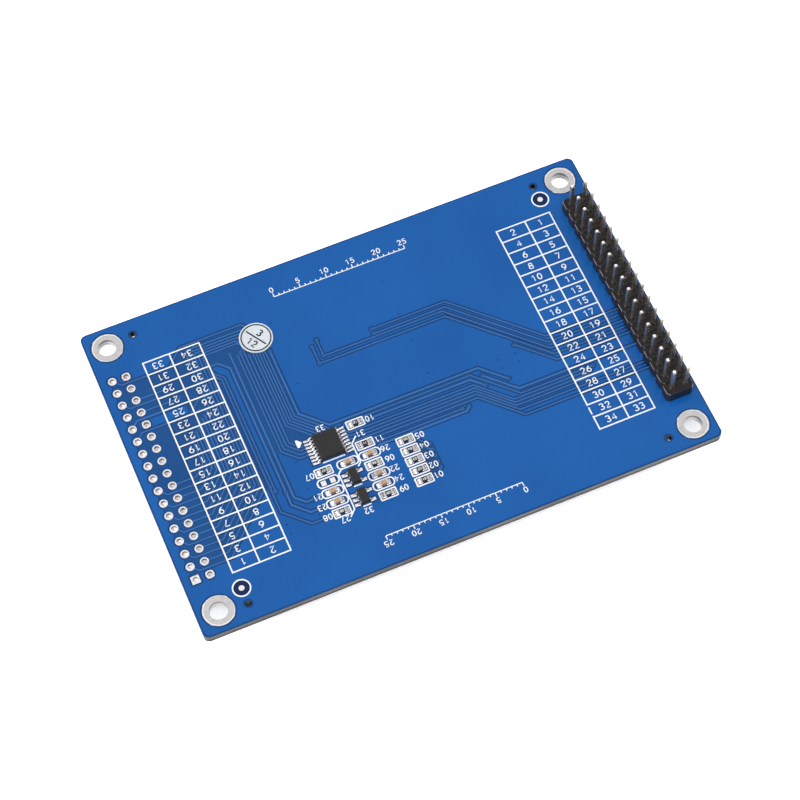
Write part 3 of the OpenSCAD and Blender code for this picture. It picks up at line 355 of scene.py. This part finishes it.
def strip_finish():
    """Glass-filled black moulding, browned a little by its filler, with a painted highlight on the sloped
    rims along its sides.
    """
    f = Finish("black_strip", Specular_IOR_Level=0.4)
    body = f.ramp(f.noise(0.5, 4.0, 0.65), (0.3, (0.003, 0.0025, 0.003)), (0.7, (0.013, 0.010, 0.010)))
    # Painted highlight: the sloped faces along the strip's long sides (the edge mask below) are painted a
    # lighter grey.
    slope = f.add("ShaderNodeSeparateXYZ")
    f.link(f.add("ShaderNodeNewGeometry").outputs["Normal"], slope.inputs[0])
    rounded = f.ramp(slope.outputs["Z"], (0.30, 0.0), (0.45, 1.0), (0.88, 1.0), (0.96, 0.0))
    sideways = f.ramp(f.math("ABSOLUTE", slope.outputs["X"]), (0.2, 0.0), (0.3, 1.0))
    edge = f.mix(1.0, rounded, sideways, "MULTIPLY")
    f.feed("Base Color", f.mix(edge, body, (0.230, 0.215, 0.215)))
    f.feed("Roughness", f.ramp(f.noise(0.3, 4.0, 0.65), (0.3, 0.30), (0.7, 0.50)))
    f.bump(f.noise(0.30, 2.0, 0.5), 0.02, 0.4)
    f.bump(f.noise(1.2, 2.0), 0.05, 0.4)
    return f.material


def pin_finish():
    """Plated pin: smooth drawn shaft, matt at its cut end, where a painted highlight makes it near white."""
    f = Finish("plated_pin")
    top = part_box("header_pins_outer")[1].z
    # Painted highlight: the topmost fraction of a millimetre of each pin is painted near white and made less
    # metallic.
    tip_highlight = f.math("DIVIDE", f.math("SUBTRACT", f.axis("Z"), top - 0.22 * MM), 0.1 * MM, clamp=True)
    drawn = f.ramp(f.noise(0.5, 3.0, 0.6, (1, 1, 0.12)), (0.3, (0.33, 0.30, 0.27)), (0.7, (0.46, 0.42, 0.39)))
    f.feed("Base Color", f.mix(tip_highlight, drawn, (0.97, 0.97, 0.96)))
    f.feed("Metallic", f.ramp(tip_highlight, (0.0, 0.9), (1.0, 0.35)))
    f.feed("Roughness", f.ramp(f.noise(0.3, 3.0), (0.3, 0.14), (0.7, 0.24)))
    f.bump(f.noise(0.25, 2.0, 0.5, (1, 1, 0.15)), 0.005, 0.4)
    return f.material


def chip_finish(name, body_dark, body_light, body_rough):
    """A chip's ceramic body between its two tinned ends, told apart along the chip's length."""
    f = Finish(name)
    along = f.axis("X", "Generated")
    middle = f.math("MULTIPLY", f.math("GREATER_THAN", along, 0.2), f.math("LESS_THAN", along, 0.8))
    ceramic = f.ramp(f.noise(0.2, 3.0), (0.3, body_dark), (0.7, body_light))
    tin = f.ramp(f.noise(0.3, 3.0), (0.3, (0.68, 0.69, 0.72)), (0.7, (0.94, 0.94, 0.95)))
    f.feed("Base Color", f.mix(middle, tin, ceramic))
    f.feed("Metallic", f.ramp(middle, (0.0, 0.8), (1.0, 0.0)))
    fine = f.ramp(f.noise(0.15, 3.0), (0.3, 0.16), (0.7, 0.30))
    f.feed("Roughness", f.mix(middle, fine, (body_rough,) * 3))
    f.bump(f.noise(0.25, 2.0), 0.012, 0.3)
    return f.material


def package_finish():
    """Moulded epoxy of a package: matt charcoal with a fine filler grain."""
    f = Finish("package_resin", Specular_IOR_Level=0.4)
    grain = f.noise(0.12, 4.0, 0.7)
    f.feed("Base Color", f.ramp(grain, (0.3, (0.006, 0.006, 0.007)), (0.7, (0.020, 0.018, 0.018))))
    f.feed("Roughness", f.ramp(f.noise(0.4, 3.0), (0.3, 0.44), (0.7, 0.60)))
    f.bump(f.cells(0.08), 0.01, 0.5)
    return f.material


def paper_finish():
    f = Finish("sticker_paper", Specular_IOR_Level=0.35)
    f.feed("Base Color", f.ramp(f.noise(0.7, 4.0, 0.6), (0.3, (0.45, 0.49, 0.53)), (0.7, (0.51, 0.55, 0.59))))
    f.feed("Roughness", f.ramp(f.noise(0.15, 3.0), (0.3, 0.45), (0.7, 0.62)))
    f.bump(f.noise(0.1, 4.0, 0.7), 0.01, 0.6)
    return f.material


def ink_finish():
    f = Finish("sticker_ink", Specular_IOR_Level=0.2)
    grain = f.noise(0.12, 4.0, 0.7)
    f.feed("Base Color", f.ramp(grain, (0.3, (0.004, 0.004, 0.005)), (0.75, (0.020, 0.018, 0.018))))
    f.feed("Roughness", f.ramp(f.noise(0.2), (0.3, 0.4), (0.7, 0.6)))
    f.bump(f.noise(0.1), 0.004, 0.4)
    return f.material


# ---- Finishes of the display ----

FLEX_LINE_PITCH = 0.8


def plain_finish(name, dark, light, rough, grain, relief):
    """A surface with soft colour variation, uneven gloss and fine grain of the given size."""
    f = Finish(name)
    f.feed("Base Color", f.ramp(f.noise(grain * 8, 3.0), (0.3, dark), (0.7, light)))
    f.feed("Roughness", f.ramp(f.noise(grain * 3, 3.0), (0.3, rough * 0.85), (0.7, rough * 1.15)))
    f.bump(f.noise(grain, 3.0), relief, 0.5)
    return f.material


def steel_finish():
    f = Finish("tray_steel", Metallic=1.0)
    f.feed("Base Color", f.ramp(f.noise(3.0, 3.0), (0.3, (0.50, 0.50, 0.50)), (0.7, (0.64, 0.64, 0.63))))
    f.feed("Roughness", f.ramp(f.noise(0.25, 4.0, 0.6, (0.06, 1, 1)), (0.3, 0.24), (0.7, 0.42)))
    f.bump(f.noise(0.2, 3.0, 0.6, (0.05, 1, 1)), 0.006, 0.5)
    return f.material


def flex_finish():
    """Amber film with the copper lines of a flexible circuit showing through it."""
    f = Finish("amber_flex", Specular_IOR_Level=0.5)
    lines = f.ramp(f.wave("Y", FLEX_LINE_PITCH), (0.35, (0.23, 0.075, 0.008)), (0.6, (0.50, 0.20, 0.030)))
    film = f.ramp(f.noise(2.0), (0.3, (0.30, 0.11, 0.015)), (0.7, (0.42, 0.17, 0.03)))
    f.feed("Base Color", f.mix(0.35, lines, film))
    f.feed("Roughness", f.ramp(f.noise(0.8), (0.3, 0.22), (0.7, 0.38)))
    f.bump(f.wave("Y", FLEX_LINE_PITCH), 0.01, 0.5)
    return f.material


def clear_finish(name, tone, rough, ior=1.5):
    f = Finish(name, Transmission_Weight=1.0, IOR=ior)
    f.feed("Base Color", f.ramp(f.noise(12.0), (0.3, tuple(c * 0.97 for c in tone)), (0.7, tone)))
    f.feed("Roughness", f.ramp(f.noise(4.0, 3.0), (0.3, rough * 0.92), (0.7, rough * 1.08)))
    f.bump(f.noise(6.0, 2.0), 0.004, 0.3)
    return f.material


# ---- Printed numbers ----


def bow(centre, radius, start, end, steps=10):
    """Points along part of an ellipse, angles in degrees."""
    points = []
    for i in range(steps + 1):
        a = math.radians(start + (end - start) * i / steps)
        points.append((centre[0] + radius[0] * math.cos(a), centre[1] + radius[1] * math.sin(a)))
    return points


def ring(centre, radius, steps=16):
    return bow(centre, radius, 0, 360, steps)


SIX_STEM = [(0.50, 0.98), (0.30, 0.86), (0.13, 0.66), (0.04, 0.44)]
SIX = [SIX_STEM + bow((0.30, 0.30), (0.28, 0.30), 180, 540, 16)]
DIGITS = {
    "0": [ring((0.30, 0.50), (0.28, 0.50))],
    "1": [[(0.10, 0.78), (0.34, 1.0), (0.34, 0.0)]],
    "2": [bow((0.29, 0.72), (0.27, 0.28), 170, -35) + [(0.02, 0.0), (0.58, 0.0)]],
    "3": [bow((0.27, 0.76), (0.26, 0.24), 150, -90) + bow((0.27, 0.26), (0.30, 0.26), 90, -150)],
    "4": [[(0.46, 0.0), (0.46, 1.0), (0.0, 0.30), (0.62, 0.30)]],
    "5": [[(0.54, 1.0), (0.10, 1.0), (0.06, 0.56)] + bow((0.27, 0.31), (0.30, 0.31), 120, -145)],
    "6": SIX,
    "7": [[(0.0, 1.0), (0.58, 1.0), (0.20, 0.0)]],
    "8": [ring((0.30, 0.76), (0.23, 0.24)), ring((0.30, 0.27), (0.29, 0.27))],
    "9": [[(0.60 - x, 1.0 - y) for x, y in stroke] for stroke in SIX],
}
DIGIT_STEP = 0.86  # from one digit to the next, in digit heights


def number_strokes(text, centre, height, turn=0.0, wide=1.0):
    """Strokes of a number, centred on a spot, turned by an angle in degrees; sizes in millimetres."""
    step = DIGIT_STEP * wide
    span = step * (len(text) - 1) + 0.6 * wide
    c, s = math.cos(math.radians(turn)), math.sin(math.radians(turn))
    strokes = []
    for place, digit in enumerate(text):
        for stroke in DIGITS[digit]:
            points = []
            for x, y in stroke:
                x = (x * wide + place * step - span / 2) * height
                y = (y - 0.5) * height
                points.append((centre[0] + c * x - s * y, centre[1] + s * x + c * y))
            strokes.append(points)
    return strokes


def add_piece(name, mesh, material):
    """Puts a smooth mesh that this script made on the module."""
    mesh.materials.clear()
    mesh.materials.append(material)
    for polygon in mesh.polygons:
        polygon.use_smooth = True
    piece = bpy.data.objects.new(name, mesh)
    bpy.context.scene.collection.objects.link(piece)
    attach(piece, "root")


def printed(name, strokes, width, base, rise, material):
    """A low domed line of ink along each stroke; strokes in millimetres, base height in metres."""
    curve = bpy.data.curves.new(name, "CURVE")
    curve.dimensions = "3D"
    curve.bevel_depth = width / 2 * MM
    curve.bevel_resolution = 2
    curve.use_fill_caps = True
    for points in strokes:
        closed = math.dist(points[0], points[-1]) < 1e-6
        if closed:
            points = points[:-1]
        spline = curve.splines.new("POLY")
        spline.points.add(len(points) - 1)
        spline.use_cyclic_u = closed
        for spot, (x, y) in zip(spline.points, points):
            spot.co = (x * MM, y * MM, 0, 1)
    source = bpy.data.objects.new(name + "_lines", curve)
    bpy.context.scene.collection.objects.link(source)
    bpy.context.view_layer.update()
    mesh = bpy.data.meshes.new_from_object(source.evaluated_get(bpy.context.evaluated_depsgraph_get()))
    bpy.data.objects.remove(source)
    squash = rise / (width / 2)
    for v in mesh.vertices:
        v.co.z = base + v.co.z * squash
    mesh.name = name
    add_piece(name, mesh, material)


def middle(node):
    low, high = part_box(node)
    return (low + high) / 2 / MM


PIN_ROWS = 17
OUTER_SHARE = 4.85 / 10.4  # of a pin table's width, the column on its header's side
TABLE_LINE = 0.25
TABLE_NUMBER = 1.15  # heights of the printed numbers
COMPONENT_NUMBER = 1.0
RULER_NUMBER = 0.95
STICKER_NUMBER = 1.2
RESISTOR_NUMBER = 0.42
WIDE = 1.1  # how much wider the table and ruler numbers are drawn
PRINT_STROKE = 0.2
PRINT_RISE = 0.03
THIN_RISE = 0.02


def table_cells(node, side):
    """Centres of a table's cells, from its top row down: (column beside the header, other column)."""
    low, high = (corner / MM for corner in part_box(node))
    step = (high.y - low.y - TABLE_LINE) / PIN_ROWS
    outer, inner = (low.x, high.x) if side < 0 else (high.x, low.x)
    mid = outer + (inner - outer) * OUTER_SHARE
    rows = []
    for row in range(PIN_ROWS):
        y = high.y - TABLE_LINE / 2 - (row + 0.5) * step
        rows.append((((outer + mid) / 2, y), ((inner + mid) / 2, y)))
    return rows


def table_numbers(rows, turn):
    """Strokes of the numbers in a table's cells, counted along the rows that are given."""
    strokes = []
    for row, (beside, other) in enumerate(rows):
        strokes += number_strokes(str(2 * row + 1), beside, TABLE_NUMBER, turn, WIDE)
        strokes += number_strokes(str(2 * row + 2), other, TABLE_NUMBER, turn, WIDE)
    return strokes


def add_printed_numbers(white):
    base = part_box("left_table_print")[0].z
    strokes = table_numbers(reversed(table_cells("left_table_print", -1)), 180)
    strokes += table_numbers(table_cells("right_table_print", 1), 0)
    printed("pin_numbers", strokes, PRINT_STROKE, base, PRINT_RISE, white)

    # Each number's node, text and place beside the middle of that node
    labels = [(f"resistor_{n}", f"{n:02d}", dx, 0)
              for n, dx in {10: 2.65, 11: 2.65, 6: 2.85, 9: 2.85, 1: 2.6, 2: 2.6, 3: 2.6, 4: 2.6, 5: 2.6,
                            7: -2.55, 8: -2.55}.items()]
    labels += [(f"capacitor_{n}", str(20 + n), dx, 0)
               for n, dx in {1: -2.75, 3: -2.75, 2: 2.85, 4: 2.85, 6: 2.85}.items()]
    labels += [
        ("backlight_driver_body", "27", -4.3, -2.6),
        ("backlight_driver_body", "32", -0.05, -2.6),
        ("touch_controller_body", "33", 0, 3.65),
        ("touch_controller_body", "31", 5.9, 0.05),
    ]
    strokes = []
    for node, text, dx, dy in labels:
        spot = middle(node)
        strokes += number_strokes(text, (spot.x + dx, spot.y + dy), COMPONENT_NUMBER, 180)
    printed("component_numbers", strokes, PRINT_STROKE, base, PRINT_RISE, white)


RULER_SPAN = 25
LONG_TICK = 0.75
SHORT_TICK = 0.4


def ruler_strokes(turn):
    """A printed scale: fine ticks each millimetre, long ones each 5 mm, and plain numbers."""
    sign = -1 if turn else 1
    half = RULER_SPAN / 2
    strokes = [[(sign * -half, 0), (sign * half, 0)]]
    for n in range(RULER_SPAN + 1):
        x = sign * (n - half)
        tall = LONG_TICK if n % 5 == 0 else SHORT_TICK
        strokes.append([(x, 0), (x, sign * tall)])
        if n % 5 == 0:
            strokes += number_strokes(str(n), (x, sign * 1.45), RULER_NUMBER, turn, WIDE)
    return strokes


def add_rulers(white):
    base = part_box("left_table_print")[0].z
    low, high = (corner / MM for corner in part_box("circuit_board"))
    for name, y, turn in (("upper_ruler", high.y - 5.9, 0), ("lower_ruler", low.y + 5.4, 180)):
        strokes = [[(x - 0.4, y + dy) for x, dy in stroke] for stroke in ruler_strokes(turn)]
        printed(name, strokes, 0.19, base, PRINT_RISE, white)


def add_sticker_numbers(ink):
    spot = middle("inspection_sticker")
    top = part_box("inspection_sticker")[1].z
    turn = -58
    across = Vector((math.cos(math.radians(turn)), math.sin(math.radians(turn))))
    up = Vector((-across.y, across.x))
    strokes = []
    for text, lift in (("3", 1.15), ("12", -1.15)):
        strokes += number_strokes(text, (spot.x + up.x * lift, spot.y + up.y * lift), STICKER_NUMBER, turn)
    printed("sticker_numbers", strokes, 0.26, top, THIN_RISE, ink)


def add_resistor_marks(white):
    strokes = []
    for n in RESISTORS:
        spot = middle(f"resistor_{n}")
        strokes += number_strokes(f"{n:02d}", (spot.x, spot.y), RESISTOR_NUMBER, 180)
    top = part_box("resistor_1")[1].z
    printed("resistor_marks", strokes, 0.09, top, THIN_RISE, white)


# ---- Vias ----


def small_holes(node, width):
    """Centres of a flat node's round holes up to a width in millimetres, read from their walls."""
    mesh = nodes[node].data
    walls = bmesh.new()
    walls.from_mesh(mesh)
    bmesh.ops.remove_doubles(walls, verts=walls.verts, dist=0.001 * MM)
    flat = [face for face in walls.faces if abs(face.normal.z) > 0.5]
    bmesh.ops.delete(walls, geom=flat, context="FACES_ONLY")
    centres = []
    seen = set()
    for first in walls.verts:
        if first in seen:
            continue
        seen.add(first)
        group, queue = [], [first]
        while queue:
            vert = queue.pop()
            group.append(vert.co.copy())
            for edge in vert.link_edges:
                other = edge.other_vert(vert)
                if edge.link_faces and other not in seen:
                    seen.add(other)
                    queue.append(other)
        low = Vector([min(co[i] for co in group) for i in range(3)])
        high = Vector([max(co[i] for co in group) for i in range(3)])
        if 0 < high.x - low.x < width * MM and abs((high.x - low.x) - (high.y - low.y)) < 0.02 * MM:
            centres.append((low + high) / 2)
    walls.free()
    return centres


VIA_HOLE = 0.4  # round holes narrower than this are vias
DIMPLE_SIDES = 12
DIMPLE_RINGS = ((0.14, 0.012), (0.10, 0.006), (0.05, 0.002))  # (radius, height above the board's back)


def dimple_ring(shape, centre, radius, z):
    ring_verts = []
    for i in range(DIMPLE_SIDES):
        a = i * 2 * math.pi / DIMPLE_SIDES
        spot = (centre.x + radius * MM * math.cos(a), centre.y + radius * MM * math.sin(a), z)
        ring_verts.append(shape.verts.new(spot))
    return ring_verts


def add_via_dimples(material):
    """Mask that has sunk into each via, seen as a small dark dimple; its darkness is painted shade of the
    unlit hole beneath.
    """
    shape = bmesh.new()
    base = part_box("ground_copper")[0].z
    for centre in small_holes("ground_copper", VIA_HOLE) + small_holes("signal_tracks", VIA_HOLE):
        rings = [dimple_ring(shape, centre, radius, base + rise * MM) for radius, rise in DIMPLE_RINGS]
        foot = [shape.verts.new((v.co.x, v.co.y, base)) for v in rings[0]]
        for outer, inner in zip([foot] + rings, rings):
            for i in range(DIMPLE_SIDES):
                j = (i + 1) % DIMPLE_SIDES
                shape.faces.new((outer[i], outer[j], inner[j], inner[i]))
        shape.faces.new(rings[-1])
        shape.faces.new(foot[::-1])
    mesh = bpy.data.meshes.new("via_dimples")
    shape.to_mesh(mesh)
    shape.free()
    add_piece("via_dimples", mesh, material)


# ---- Edges ----


def join_corners(piece):
    weld = piece.modifiers.new("join", "WELD")
    weld.merge_threshold = JOIN


def soften(node, width, angle=40):
    """Rounds a CAD node's sharp edges a little, by a modifier."""
    piece = nodes[node]
    join_corners(piece)
    bevel = piece.modifiers.new("soft_edges", "BEVEL")
    bevel.width = width * MM
    bevel.segments = 2
    bevel.limit_method = "ANGLE"
    bevel.angle_limit = math.radians(angle)
    bevel.harden_normals = True


def thicken(node, growth):
    """Lets printed ink spread a little past its drawn lines."""
    piece = nodes[node]
    join_corners(piece)
    spread = piece.modifiers.new("spread", "DISPLACE")
    spread.direction = "NORMAL"
    spread.mid_level = 0
    spread.strength = growth * MM


def set_finish(node, material):
    """Gives a CAD node one material in each of its slots."""
    piece = nodes[node]
    if not piece.data.materials:
        piece.data.materials.append(material)
    for slot in piece.material_slots:
        slot.material = material


FLOOR_RADIUS = 3.0
FLOOR_GAP = 0.02 * MM  # between the floor and the part's lowest face


def add_floor():
    f = Finish("studio_floor", Specular_IOR_Level=0.1, Emission_Color=(1.0, 1.0, 1.0))
    # Painted light and shade: the floor glows, and glows less where the module hems it in, so its shadow
    # stays faint.
    f.feed("Emission Strength", f.ramp(f.openness(14.0), (0.34, 0.24), (0.52, 0.48)))
    f.feed("Base Color", f.ramp(f.noise(60.0), (0.3, 0.90), (0.7, 0.92)))
    f.feed("Roughness", f.ramp(f.noise(20.0), (0.3, 0.85), (0.7, 0.95)))
    f.bump(f.noise(1.5), 0.01, 0.1)
    mesh = bpy.data.meshes.new("studio_floor")
    shape = bmesh.new()
    bmesh.ops.create_circle(shape, cap_ends=True, radius=FLOOR_RADIUS, segments=96)
    bmesh.ops.translate(shape, verts=shape.verts, vec=(0, 0, cad_box[0][2] - FLOOR_GAP))
    shape.to_mesh(mesh)
    shape.free()
    mesh.materials.append(f.material)
    floor = bpy.data.objects.new("studio_floor", mesh)
    bpy.context.scene.collection.objects.link(floor)


# ---- Put together ----

bpy.context.scene.view_settings.view_transform = "Standard"
add_camera()
add_world((0.0, 0.04), (0.35, 0.12), (0.9, 0.5))
add_softbox("overhead_softbox", (-0.35, -0.55, 1.2), (1.0, 1.0), 20)
add_softbox("left_softbox", (-1.0, 0.50, 0.34), (0.9, 0.6), 12)
add_softbox("right_softbox", (1.1, -0.1, 0.8), (0.6, 0.8), 5)
add_floor()

low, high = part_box("mounting_hole_plating")
corner = MM * (MOUNT_RING / 2 + MOUNT_SPOKES)
mount_spots = [Vector((x, y, high.z))
               for x in (low.x + corner, high.x - corner) for y in (low.y + corner, high.y - corner)]
tinned = tinned_finish("tinned_copper", (0.82, 0.81, 0.83), 0.26, (0.10, 0.08, 0.07), (0.90, 0.86, 0.85))
ring_tin = tinned_finish("tinned_ring", (0.56, 0.55, 0.55), 0.30, (0.20, 0.18, 0.17), (0.58, 0.56, 0.55),
                         mount_spots)
solder = solder_finish()
white = print_finish("white_print", (0.66, 0.68, 0.70))
ink = ink_finish()
resin = package_finish()
pin = pin_finish()
resistor = chip_finish("resistor_glaze", (0.010, 0.010, 0.011), (0.024, 0.023, 0.023), 0.3)
capacitor = chip_finish("capacitor_ceramic", (0.30, 0.18, 0.115), (0.42, 0.265, 0.18), 0.45)
glass = clear_finish("display_glass", (0.80, 0.86, 0.86), 0.03)
sheet = plain_finish("optical_sheet", (0.62, 0.64, 0.66), (0.70, 0.72, 0.74), 0.4, 0.4, 0.004)
polarizer = plain_finish("polarizer_film", (0.010, 0.011, 0.014), (0.012, 0.013, 0.016), 0.18, 0.6, 0.001)
flex = flex_finish()

finishes = {
    "circuit_board": board_finish(),
    "ground_copper": copper_finish("masked_copper", (0.003, 0.069, 0.264), (0.004, 0.081, 0.300), 18.0),
    "signal_tracks": copper_finish("masked_track", (0.022, 0.104, 0.300), (0.028, 0.116, 0.330), 6.0),
    "mounting_hole_plating": ring_tin,
    "empty_header_plating": tinned,
    "fitted_header_plating": tinned,
    "fiducial_pads": tinned,
    "component_pads": tinned,
    "component_solder": solder,
    "header_solder": solder,
    "flex_joints": solder,
    "left_table_print": white,
    "right_table_print": white,
    "outline_print": white,
    "header_strip": strip_finish(),
    "header_pins_inner": pin,
    "header_pins_outer": pin,
    "touch_controller_body": resin,
    "regulator_body": resin,
    "backlight_driver_body": resin,
    "touch_controller_leads": solder,
    "regulator_leads": solder,
    "backlight_driver_leads": solder,
    "inspection_sticker": paper_finish(),
    "sticker_print": ink,
    "foam_tape": plain_finish("foam", (0.016, 0.016, 0.016), (0.030, 0.030, 0.030), 0.85, 0.25, 0.08),
    "backlight_tray": steel_finish(),
    "backlight_frame": plain_finish("white_frame", (0.62, 0.63, 0.62), (0.70, 0.70, 0.69), 0.45, 0.3, 0.01),
    "reflector_sheet": sheet,
    "light_guide": clear_finish("clear_light_guide", (0.90, 0.94, 0.96), 0.05, 1.49),
    "diffuser_sheet": sheet,
    "prism_sheets": sheet,
    "led_strip": plain_finish("led_resin", (0.55, 0.50, 0.22), (0.68, 0.62, 0.32), 0.4, 0.3, 0.01),
    "rear_polarizer": polarizer,
    "front_polarizer": polarizer,
    "tft_glass": glass,
    "color_filter_glass": glass,
    "driver_chip": plain_finish("silicon", (0.03, 0.03, 0.035), (0.06, 0.06, 0.07), 0.15, 0.5, 0.002),
    "display_flex": flex,
    "touch_flex": flex,
    "touch_gasket": plain_finish("black_adhesive", (0.008, 0.008, 0.009), (0.014, 0.014, 0.015),
                                 0.55, 0.4, 0.01),
    "touch_glass": clear_finish("touch_glass", (0.93, 0.96, 0.95), 0.02, 1.5),
    "touch_film": clear_finish("clear_film", (0.95, 0.96, 0.96), 0.10, 1.45),
}
for n in RESISTORS:
    finishes[f"resistor_{n}"] = resistor
for n in CAPACITORS:
    finishes[f"capacitor_{n}"] = capacitor
for name in nodes:
    set_finish(name, finishes[name])

thicken("sticker_print", 0.05)
soften("header_strip", 0.13)
for name in ("touch_controller_body", "regulator_body", "backlight_driver_body"):
    soften(name, 0.04, 20)
for name in ("header_pins_inner", "header_pins_outer"):
    soften(name, 0.05, 20)

# Painted shade: the via dimples are coloured far darker than the mask around them.
add_via_dimples(copper_finish("via_dimple_shade", (0.001, 0.010, 0.075), (0.002, 0.016, 0.110), 3.0))
add_printed_numbers(white)
add_rulers(white)
add_sticker_numbers(ink)
add_resistor_marks(white)

bpy.context.view_layer.update()
